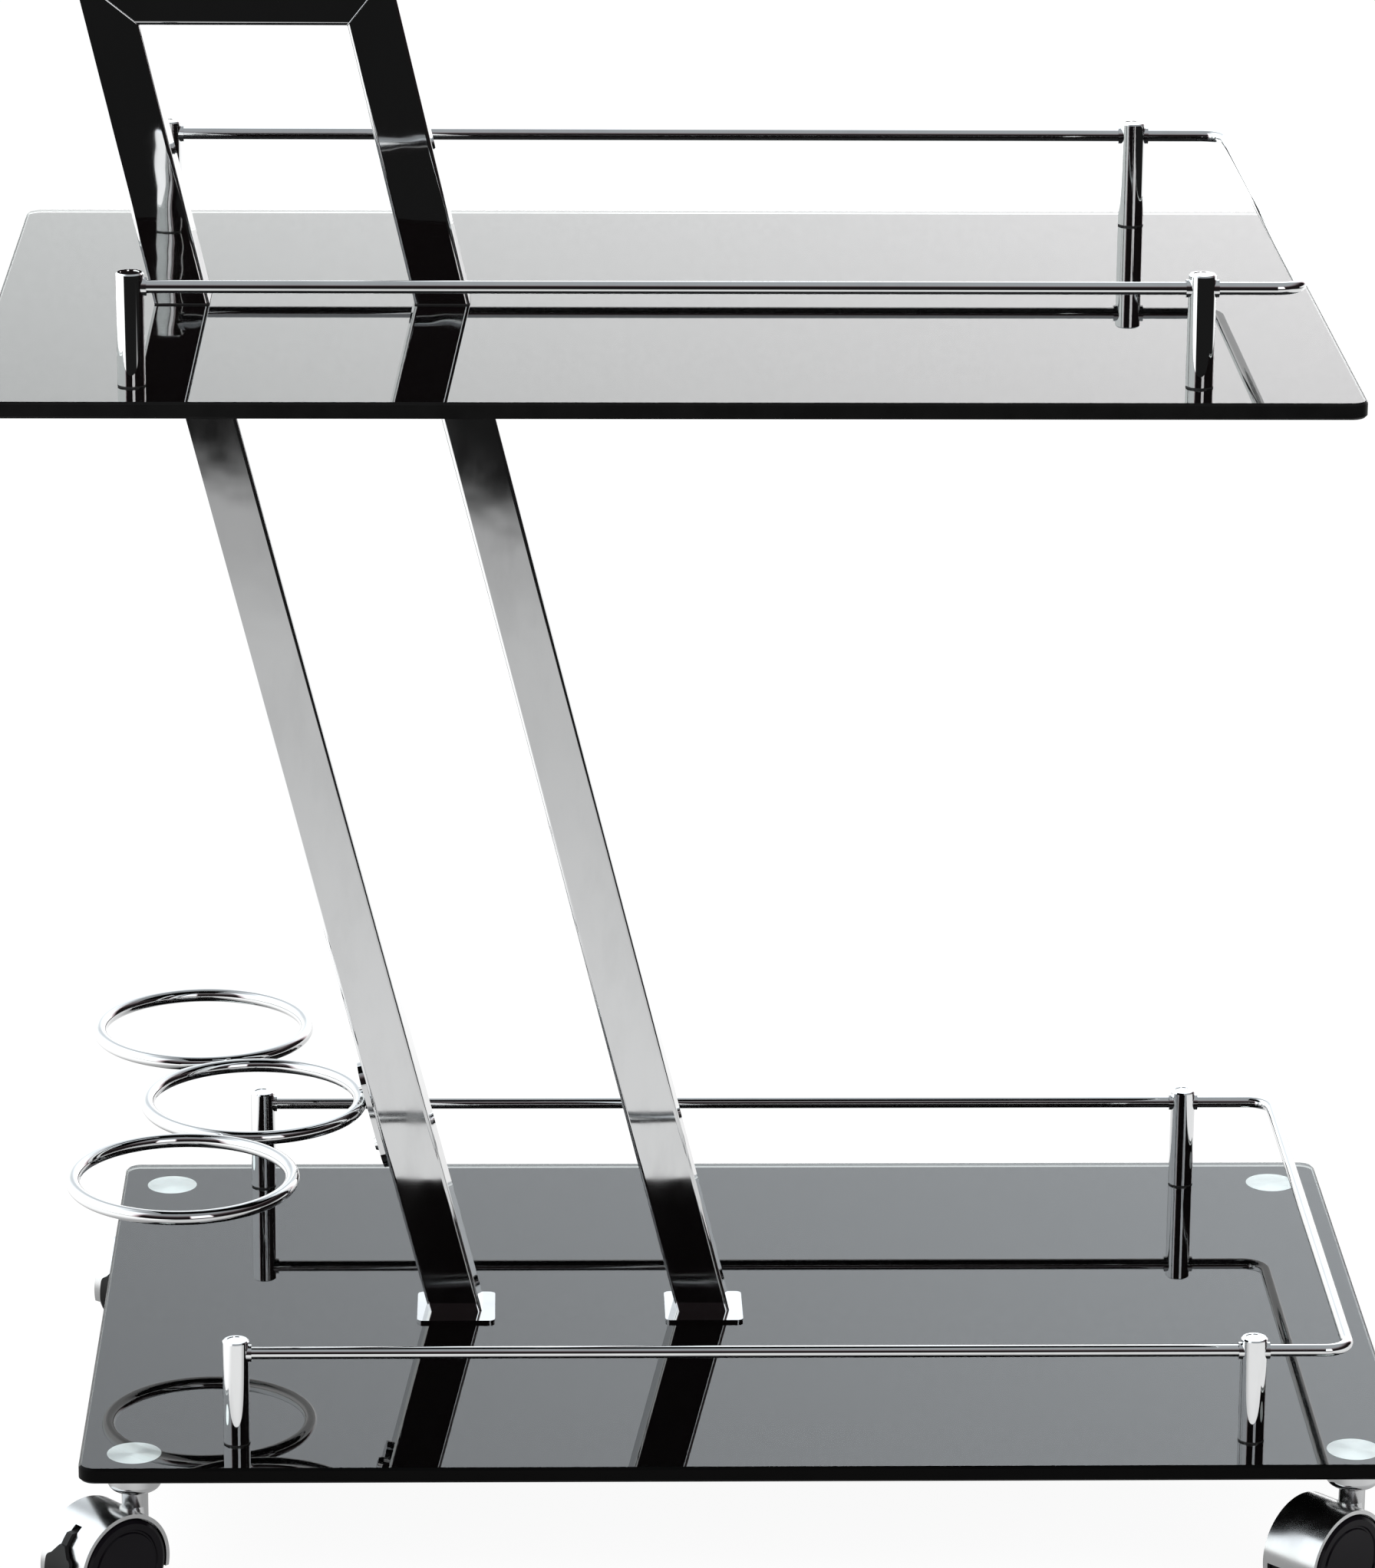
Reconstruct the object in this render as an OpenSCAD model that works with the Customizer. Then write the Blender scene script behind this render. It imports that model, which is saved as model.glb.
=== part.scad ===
// Service cart: two glass shelves on a leaning twin-leg frame with a push
// handle, tray rails, three bottle rings and four hooded twin-wheel casters.
// Millimetres. +X is the long way, towards the end away from the handle, +Y is
// the back, +Z is up. The origin is on the floor, under the middle of the cart.

/* [Shelves] */
// Length of each glass shelf
shelf_l = 650; // [620:1:760]
// Depth of each glass shelf, front to back
shelf_w = 420; // [390:1:500]
// Thickness of the shelf glass
glass_t = 8; // [6:0.5:10]
// Corner radius of the shelf glass, seen from above
glass_corner_r = 8; // [5:0.5:20]
// Width of the ground arris along the glass edges
glass_arris = 1.2; // [0.6:0.1:2]
// Clear height between the two shelves
shelf_gap = 524; // [440:1:600]
// How far the top shelf sits to the left of the bottom one
shelf_shift = 42; // [30:1:60]

/* [Tray rails] */
// Diameter of the rail posts
post_d = 13; // [12:0.5:16]
// Height of the rail posts above the glass
post_h = 54; // [45:1:75]
// Post centre to the short edge of the shelf
post_inset_x = 76; // [70:1:100]
// Post centre to the long edge of the shelf
post_inset_y = 33; // [28:1:50]
// Diameter of the rail rod
rail_d = 6; // [5:0.5:8]
// Centre of the rail below the top of its posts
rail_drop = 7; // [6:0.5:12]
// Centre of the rail's end run to the right edge of the shelf
rail_inset = 29; // [24:1:34]
// Bend radius of the rail, on its centre line
rail_bend_r = 12; // [9:0.5:16]

/* [Legs] */
// Width of the leg tube, seen from the front
leg_w = 26.5; // [22:0.5:32]
// Depth of the leg tube, front to back
leg_depth = 28; // [25:0.5:34]
// Wall thickness of the leg and handle tubes
tube_wall = 1.5; // [1:0.1:2.5]
// Outer corner radius of the leg and handle tubes
tube_corner_r = 2; // [2:0.1:5]
// Distance between the two legs, centre to centre
leg_spacing = 127.5; // [100:0.5:160]
// Lean of the legs to the left, in degrees from upright
leg_lean = 14.2; // [8:0.1:17]
// Middle of the two leg feet, left of the bottom shelf's centre
leg_offset = 79.4; // [60:0.2:100]
// Side of the square base plates
base_plate = 40; // [38:1:60]
// Thickness of the base plates
base_plate_t = 1.5; // [1:0.5:5]
// Corner radius of the base plates
base_plate_r = 3; // [1:0.5:8]
// Middle of the base plates, in front of the middle of the shelves
base_front = 3; // [0:0.5:10]

/* [Handle] */
// Height of the push handle above the top shelf
handle_h = 164.8; // [140:0.2:220]
// Lean of the handle to the left, in degrees from upright
handle_lean = 13.1; // [8:0.1:17]

/* [Bottle rings] */
// Diameter of each bottle ring on the centre line of its rod
ring_d = 108.5; // [96:0.5:114]
// Diameter of the ring rod
ring_rod_d = 7; // [5:0.5:8]
// Height of the rings above the bottom shelf
ring_h = 112; // [100:1:140]
// How far the two outer rings stand to the left of the middle one
ring_swing = 31; // [20:1:50]
// Length of the ring bracket along the leg
bracket_l = 58; // [50:1:80]
// Width of the ring bracket
bracket_w = 20; // [14:1:22]
// Thickness of the ring bracket
bracket_t = 3; // [2:0.5:5]
// Distance between the two bracket screws
bracket_pitch = 32; // [28:1:38]
// Bracket centre below the rings
bracket_drop = 3.5; // [0:0.5:6]

/* [Casters] */
// Height from the floor to the underside of the bottom shelf
caster_h = 70; // [68:1:80]
// Diameter of the caster wheels
wheel_d = 50; // [48:1:52]
// Width of each caster wheel
wheel_w = 9.6; // [8:0.2:12]
// Swivel axis to wheel axle
caster_trail = 19.5; // [19:0.5:20]
// Swivel axis to the edges of the bottom shelf
caster_inset = 26; // [22:1:45]
// Wall thickness of the wheel hood
hood_wall = 2; // [1:0.1:2.5]
// Height of the hood's lower edge above the floor
hood_edge_z = 19; // [15:0.5:20]
// Width of the hood's middle web, between the two wheels
web_w = 13; // [12:0.5:16]
// Diameter of the hood's neck
neck_d = 13; // [12:0.5:14]
// Diameter of the mounting disc under the glass
mount_d = 26.5; // [24:0.5:40]
// Height of the mounting disc
mount_h = 12.5; // [11:0.5:14]
// Diameter of the caster stem
stem_d = 8; // [6:0.5:8.5]
// Diameter of the wheel axle
axle_d = 6; // [4:0.5:7]
// Swivel of both front casters and the back right one, in degrees
swivel_angle = 43; // [30:1:50]
// Swivel of the back left caster, in degrees
back_left_angle = 52; // [40:1:60]

/* [Brake pedals] */
// Width of the foot pad
pedal_w = 18; // [14:1:28]
// Height of the foot pad
pedal_h = 16; // [12:0.5:18]
// Thickness of the foot pad
pedal_t = 2; // [2:0.5:5]
// Width of the pedal arm
pedal_arm_w = 4; // [3.6:0.2:5.6]
// Pivot of the pedal behind the axle
pedal_pivot_x = 12; // [11.5:0.5:13]
// Pivot of the pedal above the axle
pedal_pivot_z = 3; // [2:0.5:4]
// Diameter of the pedal's pivot pin
pedal_pin_d = 4; // [3:0.5:4.5]

/* [Fasteners] */
// Thread diameter of the bolts and studs that clamp the legs
bolt_d = 8; // [6:1:8]
// Width across flats of the nuts welded in the legs
nut_af = 13; // [11:1:14]
// Height of those nuts
nut_h = 6.5; // [5:0.5:8]
// Thickness of the end plates welded inside the tubes
end_plate_t = 3; // [2:0.5:5]
// Thread diameter of the post screws
post_screw_d = 5; // [4:0.5:6]
// Diameter of the washers under the post screws
post_washer_d = 12; // [11:0.5:16]
// Diameter of the washers under the leg bolts
bolt_washer_d = 22; // [18:1:28]
// Thread diameter of the bracket screws
bracket_screw_d = 4; // [3:0.5:5]
// Thickness of every washer
washer_t = 1.2; // [0.8:0.1:2]
// Thickness of the soft gaskets between metal and glass
gasket_t = 0.8; // [0.5:0.1:1.5]

/* [Clearances] */
// Radial gap of welded, glued, screwed or pressed pieces
seat_gap = 0.05; // [0.02:0.01:0.1]
// Radial gap of turning shafts
run_gap = 0.08; // [0.05:0.01:0.1]
// Gap between faces that turn past each other
side_gap = 0.4; // [0.3:0.05:0.6]
// Radial gap of a fastener in its hole through the glass
glass_hole_gap = 1; // [0.5:0.1:2]

/* [Hidden] */
$fn = 64;
big = 2000;

glass_z0 = caster_h;
glass_z1 = glass_z0 + glass_t;
top_z0 = glass_z1 + shelf_gap;
top_z1 = top_z0 + glass_t;
shelf_x = shelf_shift / 2;

wheel_r = wheel_d / 2;
wheel_in = web_w / 2 + side_gap;
wheel_out = wheel_in + wheel_w;
wheel_edge = 2;
wheel_groove_r = wheel_r * 0.76;
hood_in_r = wheel_r + side_gap * 1.7;
hood_r = hood_in_r + hood_wall;
hood_w = 2 * wheel_out - 1.2;

pedal_in_r = hood_r + 1.2;
pedal_out_r = pedal_in_r + pedal_t;
pedal_pad_z = 2.5;
pedal_arm_out = pedal_in_r + 1;
pedal_slot_top = hood_r * cos(35);
pedal_arm_top = pedal_slot_top - 2.2;
pedal_hub_r = pedal_pin_d / 2 + 2;
pedal_slot_w = pedal_arm_w + 2 * side_gap;
pedal_edge_r = 3;
pedal_flare = 5;

// The front casters reach out past the glass, so the shelves stand a little
// behind the origin, which is the middle of the whole cart.
face_reach = wheel_out * cos(swivel_angle) + (wheel_r - wheel_edge) * sin(swivel_angle);
tread_reach = (wheel_out - wheel_edge) * cos(swivel_angle) + wheel_r * sin(swivel_angle);
hood_reach = hood_w / 2 * cos(swivel_angle) + hood_r * sin(swivel_angle);
pedal_reach = pedal_w / 2 * cos(swivel_angle) + pedal_out_r * sin(swivel_angle);
caster_reach = caster_trail * sin(swivel_angle) + max(face_reach, tread_reach, hood_reach, pedal_reach);
shelf_y = max(0, (caster_reach - caster_inset) / 2);

caster_x = shelf_l / 2 - caster_inset;
caster_y = shelf_w / 2 - caster_inset;
mount_z = glass_z0 - mount_h;
neck_top = mount_z - washer_t - side_gap;
neck_fillet_r = neck_d / 2 + 2;
neck_foot_z = wheel_r + 12;
stem_foot_z = wheel_r + 15;
stem_head_gap = 0.5;

post_x = shelf_l / 2 - post_inset_x;
post_y = shelf_w / 2 - post_inset_y;
rail_x = shelf_l / 2 - rail_inset;
rail_z = post_h - rail_drop;
rail_end = post_d / 4;
collar_d = rail_d + 2.4;
collar_l = 1.2;
post_thread_l = 20;
screw_head_d = post_screw_d * 1.8;
screw_head_h = post_screw_d * 0.6;

base_y = shelf_y - base_front;
tube_inner_r = max(0.2, tube_corner_r - tube_wall);
leg_y = base_y + base_plate / 2 - leg_depth / 2;
foot_x = shelf_x - leg_offset;
leg_run = shelf_gap * tan(leg_lean);
leg_top_x = foot_x - leg_run;
bar_z = top_z1 + handle_h - leg_w / 2;
bar_run = (bar_z - top_z1) * tan(handle_lean);
bolt_head_d = bolt_d * 1.7;
bolt_head_h = bolt_d * 0.6;
thread_past_nut = 1;

ring_r = ring_d / 2;
rod_r = ring_rod_d / 2;
ring_z = glass_z1 + ring_h;
left_foot_x = foot_x - leg_spacing / 2;
bracket_reach = leg_w / 2 + bracket_t;
bracket_face_x = left_foot_x - ring_h * tan(leg_lean) - bracket_reach / cos(leg_lean);
ring_x = bracket_face_x - (rod_r + seat_gap) / cos(leg_lean) - ring_r;
ring_step = ring_d + ring_rod_d + seat_gap;
ring_step_y = sqrt(ring_step * ring_step - ring_swing * ring_swing);
bead_r = rod_r * 0.9;

chrome = [0.80, 0.81, 0.83];
black_glass = [0.07, 0.07, 0.08];
black_plastic = [0.05, 0.05, 0.05];
steel = [0.60, 0.61, 0.63];

// Places of the four shelf corners and of the two legs
CORNERS = [[-1, -1], [1, -1], [-1, 1], [1, 1]];
SIDES = [-1, 1];

// Rectangle with true round corners
module round_rect(w, d, r) {
    square([w - 2 * r, d], center = true);
    square([w, d - 2 * r], center = true);
    for (sx = SIDES, sy = SIDES)
        translate([sx * (w / 2 - r), sy * (d / 2 - r)]) circle(r);
}

// Everything above the line that runs through [x, z] at an angle to +X
module half_space_above(x, z, angle) {
    translate([x, 0, z]) rotate([0, -angle, 0]) translate([-big, -big, 0]) cube([2 * big, 2 * big, big]);
}

// Horizontal slab between two heights
module slab(z0, z1) {
    translate([-big, -big, z0]) cube([2 * big, 2 * big, z1 - z0]);
}

// Ring of round rod lying flat
module torus(r, rod) {
    rotate_extrude() translate([r, 0]) circle(rod);
}

// Corner profile of the glass edge: flat face with an arris above and below
function edge_profile(inner, outer, t, arris) = [
    [inner, 0], [outer - arris, 0], [outer, arris],
    [outer, t - arris], [outer - arris, t], [inner, t]
];

module edge_strip(outer, len) {
    rotate([90, 0, 0]) translate([0, 0, -len / 2]) linear_extrude(len) union() {
        polygon(edge_profile(0, outer, glass_t, glass_arris));
        mirror([1, 0]) polygon(edge_profile(0, outer, glass_t, glass_arris));
    }
}

module glass_plate() {
    r = glass_corner_r;
    edge_strip(shelf_l / 2, shelf_w - 2 * r);
    rotate([0, 0, 90]) edge_strip(shelf_w / 2, shelf_l - 2 * r);
    for (c = CORNERS)
        translate([c[0] * (shelf_l / 2 - r), c[1] * (shelf_w / 2 - r), 0])
            rotate_extrude() polygon(edge_profile(0, r, glass_t, glass_arris));
}

// Shelf glass with its post screw holes and two leg holes at leg_x
module glass_shelf(leg_x) {
    difference() {
        glass_plate();
        at_posts() translate([0, 0, -1])
            cylinder(r = post_screw_d / 2 + glass_hole_gap, h = glass_t + 2);
        for (s = SIDES)
            translate([leg_x + s * leg_spacing / 2, leg_y - shelf_y, -1])
                cylinder(r = bolt_d / 2 + glass_hole_gap, h = glass_t + 2);
    }
}

module on_top_shelf() {
    translate([-shelf_x, shelf_y, top_z0]) children();
}

module on_bottom_shelf() {
    translate([shelf_x, shelf_y, glass_z0]) children();
}

module at_posts() {
    for (c = CORNERS) translate([c[0] * post_x, c[1] * post_y, 0]) children();
}

module top_glass_shelf() {
    color(black_glass) on_top_shelf() glass_shelf(leg_top_x + shelf_x);
}

module bottom_glass_shelf() {
    color(black_glass) on_bottom_shelf() glass_shelf(foot_x - shelf_x);
}

// Solid prism of the tube's outline, shrunk by inset, leaning up from [x, z]
module leaning_prism(x, z, lean, inset) {
    translate([x, leg_y, z]) rotate([0, -lean, 0]) translate([0, 0, -big / 2]) linear_extrude(big)
        round_rect(leg_w - 2 * inset, leg_depth - 2 * inset, inset > 0 ? tube_inner_r : tube_corner_r);
}

module leaning_tube(x, z, lean) {
    difference() {
        leaning_prism(x, z, lean, 0);
        leaning_prism(x, z, lean, tube_wall);
    }
}

// Mitre planes at the two ends of the handle's top bar
module above_mitre(side) {
    mitre = side < 0 ? -(90 - handle_lean) / 2 : (90 + handle_lean) / 2;
    half_space_above(leg_top_x - bar_run + side * leg_spacing / 2, bar_z, mitre);
}

module handle_leg(side) {
    color(chrome) difference() {
        intersection() {
            leaning_tube(leg_top_x + side * leg_spacing / 2, top_z1, handle_lean);
            slab(top_z1 + gasket_t, top_z1 + handle_h + leg_w);
        }
        above_mitre(side);
    }
}

module handle_left_leg() {
    handle_leg(-1);
}

module handle_right_leg() {
    handle_leg(1);
}

module handle_top_bar() {
    color(chrome) intersection() {
        translate([0, leg_y, bar_z]) rotate([0, 90, 0]) translate([0, 0, -big / 2]) linear_extrude(big)
            difference() {
                round_rect(leg_w, leg_depth, tube_corner_r);
                round_rect(leg_w - 2 * tube_wall, leg_depth - 2 * tube_wall, tube_inner_r);
            }
        above_mitre(-1);
        above_mitre(1);
    }
}

// Centre line of a lower leg at height z
function leg_x_at(side, z) = foot_x + side * leg_spacing / 2 - (z - glass_z1) * tan(leg_lean);

// Turns a piece so that it lies on the left face of the left leg, where -X
// points straight out of the face and +Z runs up the leg
module on_left_leg_face(z) {
    translate([leg_x_at(-1, z), leg_y, z]) rotate([0, -leg_lean, 0])
        translate([-leg_w / 2, 0, 0]) children();
}

module at_bracket_screws() {
    for (s = SIDES)
        on_left_leg_face(ring_z - bracket_drop) translate([0, 0, s * bracket_pitch / 2])
            rotate([0, -90, 0]) children();
}

module lower_leg(side) {
    intersection() {
        leaning_tube(foot_x + side * leg_spacing / 2, glass_z1, leg_lean);
        slab(glass_z1 + base_plate_t, top_z0 - gasket_t);
    }
}

module lower_left_leg() {
    color(chrome) difference() {
        lower_leg(-1);
        at_bracket_screws() translate([0, 0, -tube_wall - 1])
            cylinder(r = bracket_screw_d / 2 + seat_gap, h = tube_wall + 2);
    }
}

module lower_right_leg() {
    color(chrome) lower_leg(1);
}

module base_plate_at(side) {
    color(chrome) translate([foot_x + side * leg_spacing / 2, base_y, glass_z1]) difference() {
        linear_extrude(base_plate_t) round_rect(base_plate, base_plate, base_plate_r);
        translate([0, leg_y - base_y, -1])
            cylinder(r = bolt_d / 2 + seat_gap, h = base_plate_t + 2);
    }
}

module left_base_plate() {
    base_plate_at(-1);
}

module right_base_plate() {
    base_plate_at(1);
}

// Plates welded in the tube ends, above and below the top glass
module leg_end_plates() {
    inset = tube_wall + seat_gap;
    upper_z = top_z1 + gasket_t;
    lower_z = top_z0 - gasket_t;
    color(steel) for (s = SIDES) {
        x = leg_top_x + s * leg_spacing / 2;
        difference() {
            union() {
                intersection() {
                    leaning_prism(x, top_z1, handle_lean, inset);
                    slab(upper_z, upper_z + end_plate_t);
                }
                intersection() {
                    leaning_prism(foot_x + s * leg_spacing / 2, glass_z1, leg_lean, inset);
                    slab(lower_z - end_plate_t, lower_z);
                }
            }
            translate([x, leg_y, lower_z - end_plate_t - 1])
                cylinder(r = bolt_d / 2 + seat_gap, h = upper_z - lower_z + 2 * end_plate_t + 2);
        }
    }
}

// Soft gaskets above and below the top glass, cut to the tube's outline
module leg_gaskets() {
    color(black_plastic) for (s = SIDES) {
        x = leg_top_x + s * leg_spacing / 2;
        difference() {
            union() {
                intersection() {
                    leaning_prism(x, top_z1, handle_lean, 0);
                    slab(top_z1, top_z1 + gasket_t);
                }
                intersection() {
                    leaning_prism(foot_x + s * leg_spacing / 2, glass_z1, leg_lean, 0);
                    slab(top_z0 - gasket_t, top_z0);
                }
            }
            translate([x, leg_y, top_z0 - 2 * gasket_t])
                cylinder(r = bolt_d / 2 + seat_gap, h = glass_t + 4 * gasket_t);
        }
    }
}

// Studs fixed in the handle, which pass the top glass into the lower legs
module leg_studs() {
    z0 = top_z0 - gasket_t - end_plate_t - nut_h - thread_past_nut;
    z1 = top_z1 + gasket_t + end_plate_t + thread_past_nut;
    color(steel) for (s = SIDES)
        translate([leg_top_x + s * leg_spacing / 2, leg_y, z0]) cylinder(d = bolt_d, h = z1 - z0);
}

// Bolts that come up through the bottom glass into the legs
module leg_bolts() {
    z1 = glass_z1 + base_plate_t + nut_h + thread_past_nut;
    head_z = glass_z0 - washer_t - bolt_head_h;
    color(steel) for (s = SIDES)
        translate([foot_x + s * leg_spacing / 2, leg_y, 0]) difference() {
            union() {
                translate([0, 0, head_z]) cylinder(d1 = bolt_head_d - 1, d2 = bolt_head_d, h = bolt_head_h);
                translate([0, 0, glass_z0 - washer_t]) cylinder(d = bolt_d, h = z1 - glass_z0 + washer_t);
            }
            translate([0, 0, head_z - 1]) cylinder(d = bolt_d * 0.7, h = 1 + bolt_head_h * 0.6, $fn = 6);
        }
}

module leg_bolt_washers() {
    color(black_plastic) for (s = SIDES)
        translate([foot_x + s * leg_spacing / 2, leg_y, glass_z0 - washer_t]) difference() {
            cylinder(d = bolt_washer_d, h = washer_t);
            translate([0, 0, -1]) cylinder(r = bolt_d / 2 + seat_gap, h = washer_t + 2);
        }
}

module weld_nut(x, z) {
    translate([x, leg_y, z]) difference() {
        cylinder(d = nut_af / cos(30), h = nut_h, $fn = 6);
        translate([0, 0, -1]) cylinder(r = bolt_d / 2 + seat_gap, h = nut_h + 2);
    }
}

module leg_weld_nuts() {
    color(steel) for (s = SIDES) {
        weld_nut(foot_x + s * leg_spacing / 2, glass_z1 + base_plate_t);
        weld_nut(leg_top_x + s * leg_spacing / 2, top_z0 - gasket_t - end_plate_t - nut_h);
    }
}

// Rail rod: front run, end run and back run with two round bends
module rail_rod() {
    straight = rail_x - rail_bend_r + post_x + rail_end;
    translate([0, 0, glass_t + rail_z]) {
        for (s = SIDES) {
            translate([-post_x - rail_end, s * post_y, 0])
                rotate([0, 90, 0]) cylinder(d = rail_d, h = straight);
            translate([rail_x - rail_bend_r, s * (post_y - rail_bend_r), 0])
                mirror([0, s < 0 ? 1 : 0, 0])
                    rotate_extrude(angle = 90) translate([rail_bend_r, 0]) circle(d = rail_d);
        }
        translate([rail_x, rail_bend_r - post_y, 0]) rotate([-90, 0, 0])
            cylinder(d = rail_d, h = 2 * (post_y - rail_bend_r));
    }
}

module top_rail() {
    color(chrome) on_top_shelf() rail_rod();
}

module bottom_rail() {
    color(chrome) on_bottom_shelf() rail_rod();
}

// Post at corner c of a shelf: the rail ends in the left posts and runs
// through the right ones, with a small weld collar wherever it comes out
module rail_post(c) {
    recess_d = post_d - 4;
    through = c[0] > 0;
    bore_end = rail_end + seat_gap * 4;
    collar_end = post_d / 2 + collar_l;
    color(chrome) translate([c[0] * post_x, c[1] * post_y, glass_t]) difference() {
        union() {
            translate([0, 0, gasket_t]) cylinder(d = post_d, h = post_h - gasket_t - 0.7);
            translate([0, 0, post_h - 0.7]) cylinder(d1 = post_d, d2 = post_d - 1.4, h = 0.7);
            translate([through ? -collar_end : 0, 0, rail_z]) rotate([0, 90, 0])
                cylinder(d = collar_d, h = through ? 2 * collar_end : collar_end);
        }
        translate([0, 0, post_h - 0.25]) cylinder(d = recess_d, h = 1);
        translate([0, 0, -1]) cylinder(r = post_screw_d / 2 + seat_gap, h = post_thread_l + 1);
        translate([through ? -collar_end - 1 : -bore_end, 0, rail_z]) rotate([0, 90, 0])
            cylinder(r = rail_d / 2 + seat_gap, h = collar_end + 1 + (through ? collar_end + 1 : bore_end));
    }
}

module top_front_left_post() { on_top_shelf() rail_post(CORNERS[0]); }
module top_front_right_post() { on_top_shelf() rail_post(CORNERS[1]); }
module top_back_left_post() { on_top_shelf() rail_post(CORNERS[2]); }
module top_back_right_post() { on_top_shelf() rail_post(CORNERS[3]); }
module bottom_front_left_post() { on_bottom_shelf() rail_post(CORNERS[0]); }
module bottom_front_right_post() { on_bottom_shelf() rail_post(CORNERS[1]); }
module bottom_back_left_post() { on_bottom_shelf() rail_post(CORNERS[2]); }
module bottom_back_right_post() { on_bottom_shelf() rail_post(CORNERS[3]); }

module at_all_posts() {
    on_top_shelf() at_posts() children();
    on_bottom_shelf() at_posts() children();
}

module rail_post_gaskets() {
    color(black_plastic) at_all_posts() translate([0, 0, glass_t]) difference() {
        cylinder(d = post_d, h = gasket_t);
        translate([0, 0, -1]) cylinder(r = post_screw_d / 2 + seat_gap, h = gasket_t + 2);
    }
}

module rail_post_washers() {
    color(steel) at_all_posts() translate([0, 0, -washer_t]) difference() {
        cylinder(d = post_washer_d, h = washer_t);
        translate([0, 0, -1]) cylinder(r = post_screw_d / 2 + seat_gap, h = washer_t + 2);
    }
}

module rail_post_screws() {
    shank = washer_t + glass_t + post_thread_l - 2;
    color(steel) at_all_posts() translate([0, 0, -washer_t]) difference() {
        union() {
            cylinder(d = post_screw_d, h = shank);
            translate([0, 0, -screw_head_h])
                cylinder(d1 = screw_head_d - 1.4, d2 = screw_head_d, h = screw_head_h);
        }
        translate([0, 0, -screw_head_h - 1])
            cylinder(d = post_screw_d * 0.7, h = 1 + screw_head_h * 0.7, $fn = 6);
    }
}

// Bottle ring k: -1 is in front, 0 in the middle, 1 at the rear
module at_ring(k) {
    translate([ring_x - abs(k) * ring_swing, leg_y + k * ring_step_y, ring_z]) children();
}

// Outer rings carry the weld bead that joins them to the middle ring
module outer_ring(k) {
    color(chrome) difference() {
        union() {
            at_ring(k) torus(ring_r, rod_r);
            translate([ring_x - ring_swing / 2, leg_y + k * ring_step_y / 2, ring_z]) sphere(bead_r);
        }
        at_ring(0) torus(ring_r, rod_r + seat_gap);
    }
}

module rear_bottle_ring() {
    outer_ring(1);
}

module front_bottle_ring() {
    outer_ring(-1);
}

module middle_bottle_ring() {
    color(chrome) at_ring(0) torus(ring_r, rod_r);
}

module ring_bracket() {
    half = bracket_l / 2 - bracket_w / 2;
    color(chrome) difference() {
        union() {
            on_left_leg_face(ring_z - bracket_drop) rotate([0, -90, 0]) linear_extrude(bracket_t) union() {
                square([2 * half, bracket_w], center = true);
                for (s = SIDES) translate([s * half, 0]) circle(d = bracket_w);
            }
            translate([bracket_face_x - 1, leg_y, ring_z]) sphere(bead_r);
        }
        at_ring(0) torus(ring_r, rod_r + seat_gap);
        at_bracket_screws() translate([0, 0, -1])
            cylinder(r = bracket_screw_d / 2 + seat_gap, h = bracket_t + 2);
    }
}

module ring_bracket_screws() {
    head_h = bracket_screw_d * 0.55;
    shank = bracket_t + tube_wall + 2.5;
    color(chrome) at_bracket_screws() difference() {
        union() {
            translate([0, 0, bracket_t - shank]) cylinder(d = bracket_screw_d, h = shank);
            translate([0, 0, bracket_t])
                cylinder(d1 = bracket_screw_d * 2, d2 = bracket_screw_d * 1.5, h = head_h);
        }
        translate([0, 0, bracket_t + head_h * 0.4]) for (a = [0, 90])
            rotate([0, 0, a]) cube([bracket_screw_d, 0.8, 2 * head_h], center = true);
    }
}

// Swivel axis of the caster at corner c
module at_caster(c) {
    translate([shelf_x + c[0] * caster_x, shelf_y + c[1] * caster_y, 0]) children();
}

// Turned caster frame: +X runs from the swivel axis to the wheels
module on_caster(c, angle) {
    at_caster(c) rotate([0, 0, 180 + angle]) children();
}

// Same, with the origin on the axle's centre
module on_axle(c, angle) {
    on_caster(c, angle) translate([caster_trail, 0, wheel_r]) children();
}

// Cylinder along the axle, from y0 to y1
module across(r, y0, y1) {
    translate([0, y0, 0]) rotate([-90, 0, 0]) cylinder(r = r, h = y1 - y0);
}

// Mounting disc glued under the glass, with the blind hole for the stem
module caster_mount(c) {
    round = min(4, mount_h / 3);
    color(chrome) at_caster(c) translate([0, 0, mount_z]) difference() {
        union() {
            translate([0, 0, round]) cylinder(d = mount_d, h = mount_h - round);
            cylinder(d = mount_d - 2 * round, h = round + 0.1);
            translate([0, 0, round]) torus(mount_d / 2 - round, round);
        }
        translate([0, 0, -1]) cylinder(r = stem_d / 2 + run_gap, h = mount_h - 1);
    }
}

module caster_stem(c) {
    z1 = glass_z0 - 2 - stem_head_gap;
    color(steel) at_caster(c) translate([0, 0, stem_foot_z]) {
        cylinder(d = stem_d, h = z1 - stem_foot_z - 1);
        translate([0, 0, z1 - stem_foot_z - 1]) cylinder(d1 = stem_d, d2 = stem_d - 2, h = 1);
    }
}

module caster_swivel_washers() {
    color(black_plastic) for (c = CORNERS) at_caster(c) translate([0, 0, mount_z - washer_t]) difference() {
        cylinder(d = neck_d - 1, h = washer_t);
        translate([0, 0, -1]) cylinder(r = stem_d / 2 + run_gap, h = washer_t + 2);
    }
}

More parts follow.
